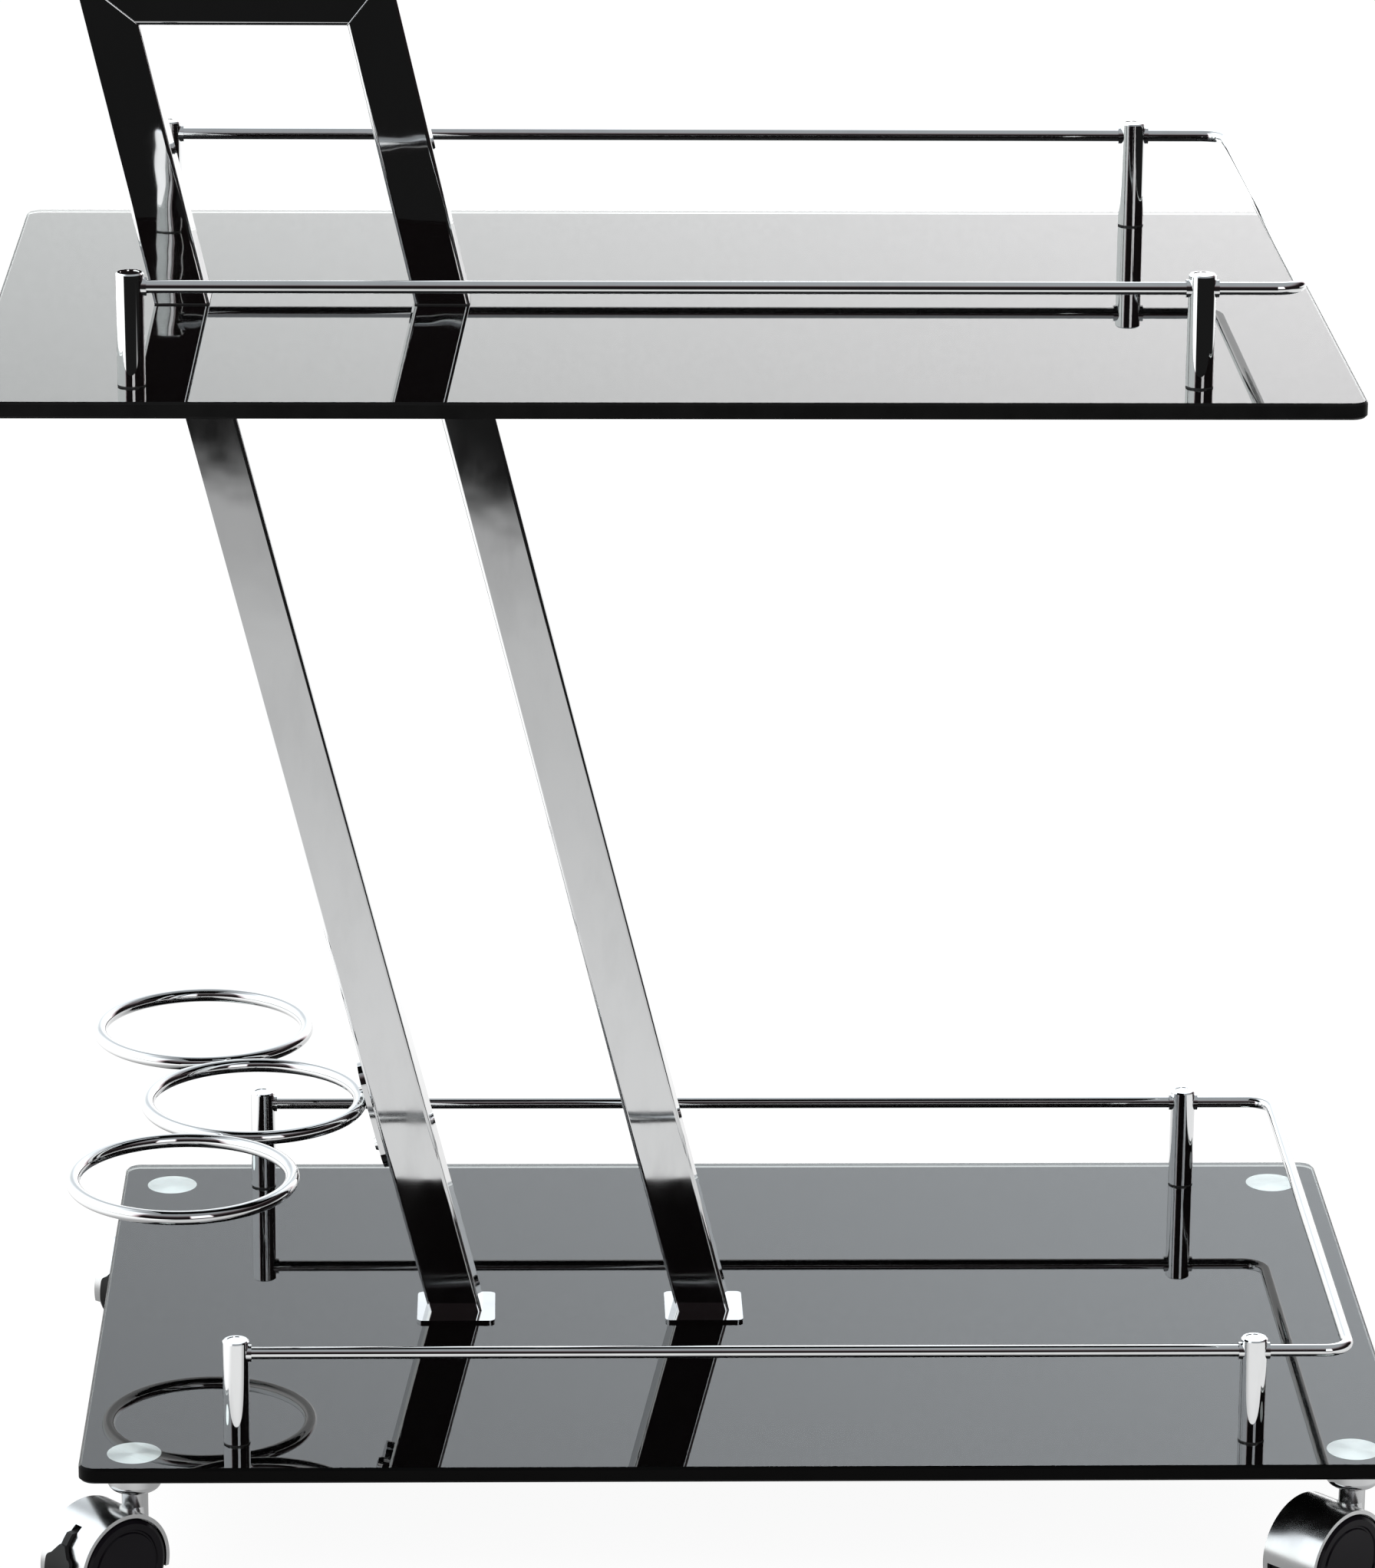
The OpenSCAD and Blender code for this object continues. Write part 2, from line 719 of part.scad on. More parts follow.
// Chrome hood: a barrel over both wheels, a middle web and the swivel neck
module caster_hood(c, angle, braked) {
    neck_bottom = hood_edge_z - wheel_r;
    neck_h = neck_top - wheel_r - neck_bottom;
    fillet_z = neck_foot_z - wheel_r;
    color(chrome) on_axle(c, angle) difference() {
        union() {
            across(hood_r, -hood_w / 2, hood_w / 2);
            translate([-caster_trail, 0, neck_bottom]) cylinder(d = neck_d, h = neck_h);
            intersection() {
                translate([-caster_trail, 0, fillet_z]) cylinder(r1 = neck_fillet_r, r2 = neck_d / 2, h = 12);
                translate([-caster_trail, -neck_d, 0]) cube([hood_r, 2 * neck_d, hood_r]);
            }
        }
        for (s = SIDES) scale([1, s, 1]) across(hood_in_r, web_w / 2, hood_w);
        translate([-big / 2, -big / 2, -big + neck_bottom]) cube([big, big, big]);
        across(axle_d / 2 + seat_gap, -web_w, web_w);
        translate([-caster_trail, 0, stem_foot_z - wheel_r - stem_head_gap])
            cylinder(r = stem_d / 2 + seat_gap, h = big);
        if (braked) brake_slot();
        else translate([pedal_pivot_x, -web_w, -wheel_r]) cube([wheel_r, 2 * web_w, wheel_r]);
    }
}

// Slot for the pedal arm and the holes for its pivot pin
module brake_slot() {
    slot_x = pedal_pivot_x - pedal_hub_r - side_gap;
    translate([slot_x, -pedal_slot_w / 2, -wheel_r])
        cube([2 * hood_r, pedal_slot_w, wheel_r + pedal_slot_top]);
    translate([pedal_pivot_x, 0, pedal_pivot_z]) across(pedal_pin_d / 2 + run_gap, -web_w, web_w);
}

module caster_axle(c, angle) {
    half = wheel_out - 2.5;
    color(steel) on_axle(c, angle) across(axle_d / 2, -half, half);
}

// Wheel with a chamfered tread and a ring groove in its closed outer face.
// side is 1 for the wheel that faces away from the shelf's middle
module caster_wheel(c, angle, side) {
    groove = 0.8;
    color(black_plastic) on_axle(c, angle) scale([1, side, 1]) rotate([-90, 0, 0]) difference() {
        rotate_extrude() polygon([
            [0, wheel_in], [wheel_r - 1, wheel_in], [wheel_r, wheel_in + 1],
            [wheel_r, wheel_out - wheel_edge], [wheel_r - 0.6, wheel_out - 0.6],
            [wheel_r - wheel_edge, wheel_out],
            [wheel_groove_r + 1, wheel_out], [wheel_groove_r + 0.4, wheel_out - groove],
            [wheel_groove_r - 0.4, wheel_out - groove], [wheel_groove_r - 1, wheel_out],
            [0, wheel_out]
        ]);
        translate([0, 0, wheel_in - 1]) cylinder(r = axle_d / 2 + run_gap, h = wheel_w - 1);
    }
}

// Outline of the foot pad, which widens out of its arm, seen from outside with
// -X upwards
module pedal_outline() {
    top = -pedal_h / 2;
    half = pedal_arm_w / 2;
    round_rect(pedal_h, pedal_w, pedal_edge_r);
    polygon([[top + 1, half + pedal_flare], [top - pedal_flare, half],
             [top - pedal_flare, -half], [top + 1, -half - pedal_flare]]);
}

// Foot pedal: pivot hub and pin, an arm that fills the hood's slot and the
// curved foot pad across its outer end
module brake_pedal(c, angle) {
    arm_foot_z = pedal_pivot_z - pedal_hub_r;
    color(black_plastic) on_axle(c, angle) {
        translate([pedal_pivot_x, 0, pedal_pivot_z]) {
            across(pedal_hub_r, -pedal_arm_w / 2, pedal_arm_w / 2);
            across(pedal_pin_d / 2, side_gap - web_w / 2, web_w / 2 - side_gap);
        }
        intersection() {
            across(pedal_arm_out, -pedal_arm_w / 2, pedal_arm_w / 2);
            translate([pedal_pivot_x, -pedal_arm_w / 2, arm_foot_z])
                cube([hood_r, pedal_arm_w, pedal_arm_top - arm_foot_z]);
        }
        intersection() {
            difference() {
                across(pedal_out_r, -pedal_w, pedal_w);
                across(pedal_in_r, -pedal_w - 1, pedal_w + 1);
            }
            translate([pedal_pivot_x, 0, pedal_pad_z]) rotate([0, 90, 0])
                linear_extrude(hood_r) pedal_outline();
        }
    }
}

module front_left_caster_mount() { caster_mount(CORNERS[0]); }
module front_left_caster_stem() { caster_stem(CORNERS[0]); }
module front_left_caster_hood() { caster_hood(CORNERS[0], swivel_angle, true); }
module front_left_caster_axle() { caster_axle(CORNERS[0], swivel_angle); }
module front_left_outer_wheel() { caster_wheel(CORNERS[0], swivel_angle, 1); }
module front_left_inner_wheel() { caster_wheel(CORNERS[0], swivel_angle, -1); }
module front_left_brake_pedal() { brake_pedal(CORNERS[0], swivel_angle); }

module front_right_caster_mount() { caster_mount(CORNERS[1]); }
module front_right_caster_stem() { caster_stem(CORNERS[1]); }
module front_right_caster_hood() { caster_hood(CORNERS[1], swivel_angle, false); }
module front_right_caster_axle() { caster_axle(CORNERS[1], swivel_angle); }
module front_right_outer_wheel() { caster_wheel(CORNERS[1], swivel_angle, 1); }
module front_right_inner_wheel() { caster_wheel(CORNERS[1], swivel_angle, -1); }

module back_left_caster_mount() { caster_mount(CORNERS[2]); }
module back_left_caster_stem() { caster_stem(CORNERS[2]); }
module back_left_caster_hood() { caster_hood(CORNERS[2], back_left_angle, true); }
module back_left_caster_axle() { caster_axle(CORNERS[2], back_left_angle); }
module back_left_outer_wheel() { caster_wheel(CORNERS[2], back_left_angle, 1); }
module back_left_inner_wheel() { caster_wheel(CORNERS[2], back_left_angle, -1); }
module back_left_brake_pedal() { brake_pedal(CORNERS[2], back_left_angle); }

module back_right_caster_mount() { caster_mount(CORNERS[3]); }
module back_right_caster_stem() { caster_stem(CORNERS[3]); }
module back_right_caster_hood() { caster_hood(CORNERS[3], swivel_angle, false); }
module back_right_caster_axle() { caster_axle(CORNERS[3], swivel_angle); }
module back_right_outer_wheel() { caster_wheel(CORNERS[3], swivel_angle, 1); }
module back_right_inner_wheel() { caster_wheel(CORNERS[3], swivel_angle, -1); }

top_glass_shelf();
bottom_glass_shelf();
handle_left_leg();
handle_right_leg();
handle_top_bar();
lower_left_leg();
lower_right_leg();
left_base_plate();
right_base_plate();
leg_end_plates();
leg_gaskets();
leg_studs();
leg_bolts();
leg_bolt_washers();
leg_weld_nuts();
top_rail();
bottom_rail();
top_front_left_post();
top_front_right_post();
top_back_left_post();
top_back_right_post();
bottom_front_left_post();
bottom_front_right_post();
bottom_back_left_post();
bottom_back_right_post();
rail_post_gaskets();
rail_post_washers();
rail_post_screws();
rear_bottle_ring();
middle_bottle_ring();
front_bottle_ring();
ring_bracket();
ring_bracket_screws();
caster_swivel_washers();
front_left_caster_mount();
front_left_caster_stem();
front_left_caster_hood();
front_left_caster_axle();
front_left_outer_wheel();
front_left_inner_wheel();
front_right_caster_mount();
front_right_caster_stem();
front_right_caster_hood();
front_right_caster_axle();
front_right_outer_wheel();
front_right_inner_wheel();
back_left_caster_mount();
back_left_caster_stem();
back_left_caster_hood();
back_left_caster_axle();
back_left_outer_wheel();
back_left_inner_wheel();
back_right_caster_mount();
back_right_caster_stem();
back_right_caster_hood();
back_right_caster_axle();
back_right_outer_wheel();
back_right_inner_wheel();
front_left_brake_pedal();
back_left_brake_pedal();
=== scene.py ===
import math

import bmesh
import bpy
from mathutils import Matrix, Vector


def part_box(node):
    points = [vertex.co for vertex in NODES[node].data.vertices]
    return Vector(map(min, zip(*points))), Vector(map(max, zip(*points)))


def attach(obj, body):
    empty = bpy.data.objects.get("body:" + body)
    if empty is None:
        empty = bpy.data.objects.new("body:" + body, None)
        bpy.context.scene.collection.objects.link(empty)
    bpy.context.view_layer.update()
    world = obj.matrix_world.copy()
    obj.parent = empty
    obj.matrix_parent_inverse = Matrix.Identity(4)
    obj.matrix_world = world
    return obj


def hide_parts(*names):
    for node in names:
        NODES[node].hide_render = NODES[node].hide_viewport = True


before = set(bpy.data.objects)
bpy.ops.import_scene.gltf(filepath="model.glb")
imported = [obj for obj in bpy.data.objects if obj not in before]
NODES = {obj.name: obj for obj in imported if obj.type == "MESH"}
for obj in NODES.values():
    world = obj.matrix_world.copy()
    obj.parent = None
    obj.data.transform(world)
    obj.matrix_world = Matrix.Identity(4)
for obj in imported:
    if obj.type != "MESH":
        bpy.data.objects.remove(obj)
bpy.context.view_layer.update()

# Lengths are in metres and angles in degrees, unless a comment says otherwise. A pair
# is where a smooth step starts and ends, or the values it goes from and to.

# Camera, fitted to the photograph. Its angles are in radians, and the lens is in
# millimetres on a 36 mm long side.
CAMERA_PLACE = (-0.09126, -3.09538, 1.32470)
CAMERA_YAW = 0.02782
CAMERA_PITCH = 0.30099
CAMERA_ROLL = 0.00789
CAMERA_LENS = 148.08
CAMERA_LONG_SIDE = 36.0
CAMERA_CLIP = (0.05, 200.0)              # nearest and farthest

# White sweep on the floor, as mirrors see it, glowing with painted light. It ends on a
# slant in front of the cart, its painted light fades far in front and is brighter to the
# left and behind, and it has a painted shadow under the cart.
FLOOR_SIZE = 60.0
SWEEP_FRONT_Y = (-2.03, -1.82)
SWEEP_FRONT_SLANT = 0.5
SWEEP_SLANT_X = (-0.45, -0.14, 0.0)      # slanted from the first to the last, unmoved at the middle
SWEEP_RIGHT_X = (2.1, 1.7)
SWEEP_BEHIND_Y = (0.6, 1.4)
SWEEP_FAR_Y = (-1.85, -1.45)
SWEEP_FAR_PAINTED_LIGHT = (0.54, 0.72)
SWEEP_NEAR_Y = (-1.45, -0.5)
SWEEP_NEAR_PAINTED_LIGHT = (0.0, 0.22)
SWEEP_BACK_Y = (0.45, 0.95)
SWEEP_BACK_PAINTED_LIGHT = 1.2
SWEEP_LEFT_X = (-0.38, -0.62)
SWEEP_LEFT_PAINTED_LIGHT = 1.6
# Painted shadow under the cart: the sweep's glow is dimmed over this span of x and y
SWEEP_UNDER_X = (0.52, 0.32)
SWEEP_UNDER_Y = (0.42, 0.22)
SWEEP_UNDER_PAINTED_SHADOW = 0.5
DARK_FLOOR = 0.012

# The floor as the camera sees it: almost white, and grey where shadows fall
FLOOR_GREY = 0.13
FLOOR_GLOW = 0.94

# Walls round the cart, as mirrors see them: bright from the left round behind to the
# right, with a softbox in front, in a dark room under a grey ceiling. Turns are to the
# right, from the front for the ends of the bright wall and the softbox, and from behind
# for its back part.
BRIGHT_WALL = 1.9
DARK_ROOM = 0.012
CEILING = 0.42
WALL_LEFT_END_TURN = (-38, -52)
WALL_RIGHT_END_TURN = (125, 145)
SOFTBOX_TURN = ((9, 12), (33, 30))       # its left and right edge
SOFTBOX_HEIGHT = ((4, 7), (44, 40))      # its lower and upper edge
BACK_WALL_TURN = (40, 15)
BACK_WALL_HEIGHT = (11, 21)
BACK_WALL_LEVEL = (1.99, 1.47)
BACK_WALL_SLOPE = 0.05                   # brighter per degree, over the next span
BACK_WALL_SLOPE_TURN = (-8, 9)
CEILING_HEIGHT = (24, 58)
CEILING_HEIGHT_LEFT = (52, 74)
PLASTER_SCALE = 900.0
PLASTER_SPAN = (0.2, 0.8)
PLASTER_LEVEL = (0.98, 1.02)
TINT_LEFT = (0.955, 1.0, 0.995, 1.0)
TINT_RIGHT = (1.0, 0.995, 1.0, 1.0)
TINT_LEFT_TO_RIGHT = (-0.25, 0.15)       # x of the direction
TINT_HIGH = (0.945, 1.0, 1.045, 1.0)
TINT_HIGH_HEIGHT = (15, 19)
TINT_DARK_ROOM = (1.25, 0.95, 1.0, 1.0)

# Plain light on the object: an even world and three area lamps, each with its
# place, side length and power in watts
SOFT_WORLD = 0.55
LAMP_AIM = (0.0, 0.0, 0.35)
LAMPS = {"key_lamp": ((-2.2, -1.6, 2.6), 1.8, 46.0),
         "fill_lamp": ((2.4, -2.2, 2.2), 1.6, 22.0),
         "top_lamp": ((0.0, 0.6, 3.2), 2.4, 34.0)}

# Handle: its lean from upright, and the polished weld seams of its mitres with the
# corner radius of the tube
HANDLE_LEAN = 13.1
WELD_RADIUS = 0.0003
WELD_ROUND = 0.002
WELD_CORNER_STEPS = 6

# Shelf glass: how its faces are told apart, its paint, and the spun discs of the caster
# mounts, which show through gaps in the paint
LEVEL_NORMAL = 0.99
FRONT_NORMAL = -0.2
EDGE_DEPTH = 0.01
UNDERSIDE_LIFT = 0.00002
# Front edges of the glass: black as painted shade, darker on the bottom shelf than on the top
TOP_EDGE_PAINTED_SHADE = 0.006
BOTTOM_EDGE_PAINTED_SHADE = 0.0015
EDGE_GLOSS = 0.05
EDGE_ROUGH = (0.30, 0.45)
PAINT_SHADES = (0.0018, 0.0030)
PAINT_ROUGH = (0.5, 0.7)
DISC_REACH = (0.299, 0.184, 0.0)         # from the middle of the glass
DISC_RADIUS = 0.01325
DISC_EDGE = 0.0002
DISC_ROUGH = 0.30
DISC_ANISOTROPY = 0.8
GROOVE_TURNS = 12000.0                   # radians per metre
GROOVE_HEIGHT = 0.000002

# Materials: spans of a noise over which a value changes, shades as shares of a colour,
# tints, and whole colours
NOISE_SPAN = (0.3, 0.7)
SMEAR_STRETCH = (1.0, 1.0, 0.35)
SMEAR_COLOUR_SPAN = (0.42, 0.72)
SMEAR_ROUGH_SPAN = (0.35, 0.75)
SMEAR_SHADE = 0.94
PLASTIC_SHADES = (0.7, 1.3)
EDGE_SHADES = (0.75, 1.25)
GLASS_SHADES = (0.97, 1.0)
GLASS_SPAN = (0.2, 0.8)
GLASS_IOR = 1.52
PLAIN = (1.0, 1.0, 1.0)
CHROME_TINT = (0.985, 0.995, 1.0)
PLUM = (1.0, 0.85, 1.15)
CLEAR_GREEN = (0.93, 0.975, 0.965)
GROUND_GREEN = (0.86, 0.93, 0.91)
ZINC_DARK = (0.42, 0.43, 0.45, 1.0)
ZINC_LIGHT = (0.60, 0.60, 0.58, 1.0)
ZINC_ROUGH = (0.24, 0.40)
SPUN_DARK = (0.90, 0.96, 0.94, 1.0)
SPUN_LIGHT = (0.98, 1.0, 0.99, 1.0)


def grey(value, tint=PLAIN):
    return (value * tint[0], value * tint[1], value * tint[2], 1.0)


def radians(angles):
    return [math.radians(angle) for angle in angles]


class Tree:
    """Short calls for one node tree."""

    def __init__(self, tree):
        self.tree = tree
        tree.nodes.clear()

    def add(self, kind, **settings):
        node = self.tree.nodes.new(kind)
        for name, value in settings.items():
            setattr(node, name, value)
        return node

    def put(self, socket, value):
        """Links a socket, or sets a number or colour."""
        if isinstance(value, bpy.types.NodeSocket):
            self.tree.links.new(value, socket)
        else:
            socket.default_value = value

    def filled(self, node, values, first=0):
        """The node, with values put on its inputs from the first one on."""
        for socket, value in zip(node.inputs[first:], values):
            self.put(socket, value)
        return node

    def math(self, operation, a, b=0.0, c=0.0):
        node = self.add("ShaderNodeMath", operation=operation)
        return self.filled(node, (a, b, c)).outputs[0]

    def held(self, value, low, high):
        return self.math("MINIMUM", self.math("MAXIMUM", value, low), high)

    def vector(self, operation, a, b=(0, 0, 0)):
        node = self.filled(self.add("ShaderNodeVectorMath", operation=operation), (a, b))
        return node.outputs["Value" if operation == "LENGTH" else "Vector"]

    def split(self, vector):
        return self.filled(self.add("ShaderNodeSeparateXYZ"), (vector,)).outputs

    def smooth(self, value, low, high, out_low=0.0, out_high=1.0):
        """Smooth step of value from low to high."""
        node = self.add("ShaderNodeMapRange", interpolation_type="SMOOTHSTEP")
        for name, number in (("Value", value), ("From Min", low), ("From Max", high),
                             ("To Min", out_low), ("To Max", out_high)):
            self.put(node.inputs[name], number)
        return node.outputs[0]

    # The Mix node has a set of sockets for each type, so they are taken by number.

    def mix_color(self, factor, a, b):
        node = self.filled(self.add("ShaderNodeMix", data_type="RGBA"), (factor,))
        return self.filled(node, (a, b), first=6).outputs[2]

    def mix_float(self, factor, a, b):
        node = self.filled(self.add("ShaderNodeMix", data_type="FLOAT"), (factor,))
        return self.filled(node, (a, b), first=2).outputs[0]

    def mix_shader(self, factor, a, b):
        return self.filled(self.add("ShaderNodeMixShader"), (factor, a, b)).outputs[0]

    def noise(self, vector, scale, detail=2.0, roughness=0.5):
        node = self.add("ShaderNodeTexNoise")
        self.put(node.inputs["Vector"], vector)
        self.put(node.inputs["Scale"], scale)
        self.put(node.inputs["Detail"], detail)
        self.put(node.inputs["Roughness"], roughness)
        return node.outputs[0]

    def bump(self, height, distance):
        node = self.add("ShaderNodeBump")
        self.put(node.inputs["Height"], height)
        self.put(node.inputs["Distance"], distance)
        self.put(node.inputs["Strength"], 1.0)
        return node.outputs[0]

    def glow(self, kind, strength, color=grey(1.0)):
        """The shader of an emission or background node."""
        node = self.add(kind)
        self.put(node.inputs["Color"], color)
        self.put(node.inputs["Strength"], strength)
        return node.outputs[0]


# Materials of the object

def new_material(name):
    """A material with one Principled shader, its tree, and the object's own coordinates."""
    material = bpy.data.materials.new(name)
    material.use_nodes = True
    tree = Tree(material.node_tree)
    output = tree.add("ShaderNodeOutputMaterial")
    shader = tree.add("ShaderNodeBsdfPrincipled")
    tree.put(output.inputs["Surface"], shader.outputs[0])
    place = tree.add("ShaderNodeTexCoord").outputs["Object"]
    return material, tree, shader.inputs, place


def chrome(name, reflect=0.66, rough=(0.02, 0.05), wave_scale=22.0, wave_height=0.00002):
    """Mirror chrome: faint waves of the polished steel below, and smears that dull it a little."""
    material, tree, shader, place = new_material(name)
    stretched = tree.vector("MULTIPLY", place, SMEAR_STRETCH)
    smear = tree.noise(stretched, scale=38.0, detail=4.0, roughness=0.62)
    clean, smeared = grey(reflect, CHROME_TINT), grey(reflect * SMEAR_SHADE, CHROME_TINT)
    tree.put(shader["Metallic"], 1.0)
    tree.put(shader["Base Color"],
             tree.mix_color(tree.smooth(smear, *SMEAR_COLOUR_SPAN), clean, smeared))
    tree.put(shader["Roughness"], tree.smooth(smear, *SMEAR_ROUGH_SPAN, *rough))
    wave = tree.noise(place, wave_scale, detail=1.0, roughness=0.4)
    tree.put(shader["Normal"], tree.bump(wave, wave_height))
    return material


def black_plastic(name, shade, rough, grain_scale, grain_height, tint=PLAIN, gloss=0.5):
    """Moulded black plastic or rubber with a fine grain."""
    material, tree, shader, place = new_material(name)
    cloud = tree.noise(place, scale=60.0, detail=3.0, roughness=0.55)
    dark, light = (grey(shade * share, tint) for share in PLASTIC_SHADES)
    tree.put(shader["Base Color"], tree.mix_color(cloud, dark, light))
    tree.put(shader["Specular IOR Level"], gloss)
    tree.put(shader["Roughness"], tree.smooth(cloud, *NOISE_SPAN, *rough))
    grain = tree.noise(place, grain_scale, detail=2.0, roughness=0.6)
    tree.put(shader["Normal"], tree.bump(grain, grain_height))
    return material


def zinc_steel(name):
    """Bright zinc plating on screws, washers and stems."""
    material, tree, shader, place = new_material(name)
    flake = tree.noise(place, scale=420.0, detail=3.0, roughness=0.6)
    tree.put(shader["Metallic"], 1.0)
    tree.put(shader["Base Color"], tree.mix_color(flake, ZINC_DARK, ZINC_LIGHT))
    tree.put(shader["Roughness"], tree.smooth(flake, *NOISE_SPAN, *ZINC_ROUGH))
    tree.put(shader["Normal"], tree.bump(tree.noise(place, scale=900.0), 0.00002))
    return material


def glass(name, tint, rough, ripple_scale, ripple_height):
    """Clear glass: polished with a faint ripple, or ground at its edges."""
    material, tree, shader, place = new_material(name)
    cloud = tree.noise(place, ripple_scale)
    dark, light = (grey(share, tint) for share in GLASS_SHADES)
    tree.put(shader["Base Color"], tree.mix_color(cloud, dark, light))
    tree.put(shader["Transmission Weight"], 1.0)
    tree.put(shader["IOR"], GLASS_IOR)
    tree.put(shader["Roughness"], tree.smooth(cloud, *GLASS_SPAN, *rough))
    tree.put(shader["Normal"], tree.bump(cloud, ripple_height))
    return material


def dark_front_edge(name, shade):
    """The front edge of the shelf glass, black with a faint sheen as painted shade in place of
    clear glass.
    """
    material, tree, shader, place = new_material(name)
    cloud = tree.noise(place, scale=70.0, detail=3.0, roughness=0.55)
    dark, light = (grey(shade * share) for share in EDGE_SHADES)
    tree.put(shader["Base Color"], tree.mix_color(cloud, dark, light))
    tree.put(shader["Specular IOR Level"], EDGE_GLOSS)
    tree.put(shader["Roughness"], tree.smooth(cloud, *NOISE_SPAN, *EDGE_ROUGH))
    tree.put(shader["Normal"], tree.bump(tree.noise(place, scale=800.0), 0.00001))
    return material


def back_paint(name, centre=None):
    """Black paint under the glass, with spun metal at the four caster mounts round centre."""
    material, tree, shader, place = new_material(name)
    cloud = tree.noise(place, scale=55.0, detail=3.0, roughness=0.55)
    dark, light = (grey(shade) for shade in PAINT_SHADES)
    paint = tree.mix_color(cloud, dark, light)
    rough = tree.smooth(cloud, *NOISE_SPAN, *PAINT_ROUGH)
    tree.put(shader["Specular IOR Level"], 0.0)
    if centre is None:
        tree.put(shader["Base Color"], paint)
        tree.put(shader["Roughness"], rough)
        tree.put(shader["Normal"], tree.bump(tree.noise(place, scale=300.0), 0.00001))
    else:
        show_discs(tree, shader, place, centre, paint, rough)
    return material


def show_discs(tree, shader, place, centre, paint, rough):
    """Four discs of spun metal round centre, in paint of this colour and roughness."""
    from_centre = tree.vector("SUBTRACT", place, (centre.x, centre.y, 0.0))
    offset = tree.vector("SUBTRACT", tree.vector("ABSOLUTE", from_centre), DISC_REACH)
    radius = tree.vector("LENGTH", tree.vector("MULTIPLY", offset, (1.0, 1.0, 0.0)))
    disc = tree.smooth(radius, DISC_RADIUS + DISC_EDGE, DISC_RADIUS - DISC_EDGE)
    flat = tree.vector("MULTIPLY", place, (1.0, 1.0, 0.0))
    streak = tree.noise(flat, scale=240.0, detail=3.0, roughness=0.6)
    metal = tree.mix_color(streak, SPUN_DARK, SPUN_LIGHT)
    tree.put(shader["Base Color"], tree.mix_color(disc, paint, metal))
    tree.put(shader["Metallic"], disc)
    tree.put(shader["Roughness"], tree.mix_float(disc, rough, DISC_ROUGH))
    outward = tree.vector("MULTIPLY", offset, tree.vector("SIGN", from_centre))
    around = tree.vector("CROSS_PRODUCT", (0.0, 0.0, 1.0), outward)
    tree.put(shader["Anisotropic"], DISC_ANISOTROPY)
    tree.put(shader["Tangent"], tree.vector("NORMALIZE", around))
    groove = tree.math("SINE", tree.math("MULTIPLY", radius, GROOVE_TURNS))
    groove = tree.math("MULTIPLY", groove, disc)
    tree.put(shader["Normal"], tree.bump(groove, GROOVE_HEIGHT))


# Camera and studio

def make_camera():
    forward = Vector((math.sin(CAMERA_YAW) * math.cos(CAMERA_PITCH),
                      math.cos(CAMERA_YAW) * math.cos(CAMERA_PITCH), -math.sin(CAMERA_PITCH)))
    level_right = Vector((math.cos(CAMERA_YAW), -math.sin(CAMERA_YAW), 0.0))
    level_up = level_right.cross(forward)
    turn_cos, turn_sin = math.cos(CAMERA_ROLL), math.sin(CAMERA_ROLL)
    right = level_right * turn_cos + level_up * turn_sin
    up = level_up * turn_cos - level_right * turn_sin
    data = bpy.data.cameras.new("photo_camera")
    data.sensor_width = CAMERA_LONG_SIDE
    data.lens = CAMERA_LENS
    data.clip_start, data.clip_end = CAMERA_CLIP
    camera = bpy.data.objects.new("photo_camera", data)
    turn = Matrix((right, up, -forward)).transposed().to_4x4()
    camera.matrix_world = Matrix.Translation(Vector(CAMERA_PLACE)) @ turn
    bpy.context.scene.collection.objects.link(camera)
    bpy.context.scene.camera = camera


def wall_level_and_tint(tree):
    """The brightness and the tint of the walls, as mirrors see them."""
    direction = tree.add("ShaderNodeTexCoord").outputs["Generated"]
    x, y, z = tree.split(direction)
    azimuth = tree.math("ARCTAN2", x, tree.math("MULTIPLY", y, -1.0))
    behind = tree.math("ARCTAN2", x, y)
    elevation = tree.math("ARCSINE", z)

    left = tree.smooth(azimuth, *radians(WALL_LEFT_END_TURN))
    right = tree.smooth(azimuth, *radians(WALL_RIGHT_END_TURN))
    wide = [tree.smooth(azimuth, *radians(edge)) for edge in SOFTBOX_TURN]
    tall = [tree.smooth(elevation, *radians(edge)) for edge in SOFTBOX_HEIGHT]
    softbox = tree.math("MULTIPLY", tree.math("MULTIPLY", *wide), tree.math("MULTIPLY", *tall))
    lit = tree.math("MAXIMUM", tree.math("MAXIMUM", left, right), softbox)

    across = tree.held(behind, *radians(BACK_WALL_SLOPE_TURN))
    back_wall = tree.math("MULTIPLY_ADD", across, BACK_WALL_SLOPE / math.radians(1),
                          tree.smooth(elevation, *radians(BACK_WALL_HEIGHT), *BACK_WALL_LEVEL))
    at_back = tree.smooth(tree.math("ABSOLUTE", behind), *radians(BACK_WALL_TURN))
    level = tree.mix_float(lit, DARK_ROOM, tree.mix_float(at_back, BRIGHT_WALL, back_wall))
    plaster = tree.noise(direction, PLASTER_SCALE, detail=2.0, roughness=0.6)
    level = tree.math("MULTIPLY", level, tree.smooth(plaster, *PLASTER_SPAN, *PLASTER_LEVEL))

    only_left = tree.math("MULTIPLY", left, tree.math("SUBTRACT", 1.0, at_back))
    fade = tree.mix_float(only_left, tree.smooth(elevation, *radians(CEILING_HEIGHT)),
                          tree.smooth(elevation, *radians(CEILING_HEIGHT_LEFT)))
    level = tree.mix_float(fade, level, CEILING)

    tint = tree.mix_color(tree.smooth(x, *TINT_LEFT_TO_RIGHT), TINT_LEFT, TINT_RIGHT)
    high = tree.smooth(elevation, *radians(TINT_HIGH_HEIGHT))
    tint = tree.mix_color(high, tint, TINT_HIGH)
    tint = tree.mix_color(tree.math("MAXIMUM", lit, fade), TINT_DARK_ROOM, tint)
    return level, tint


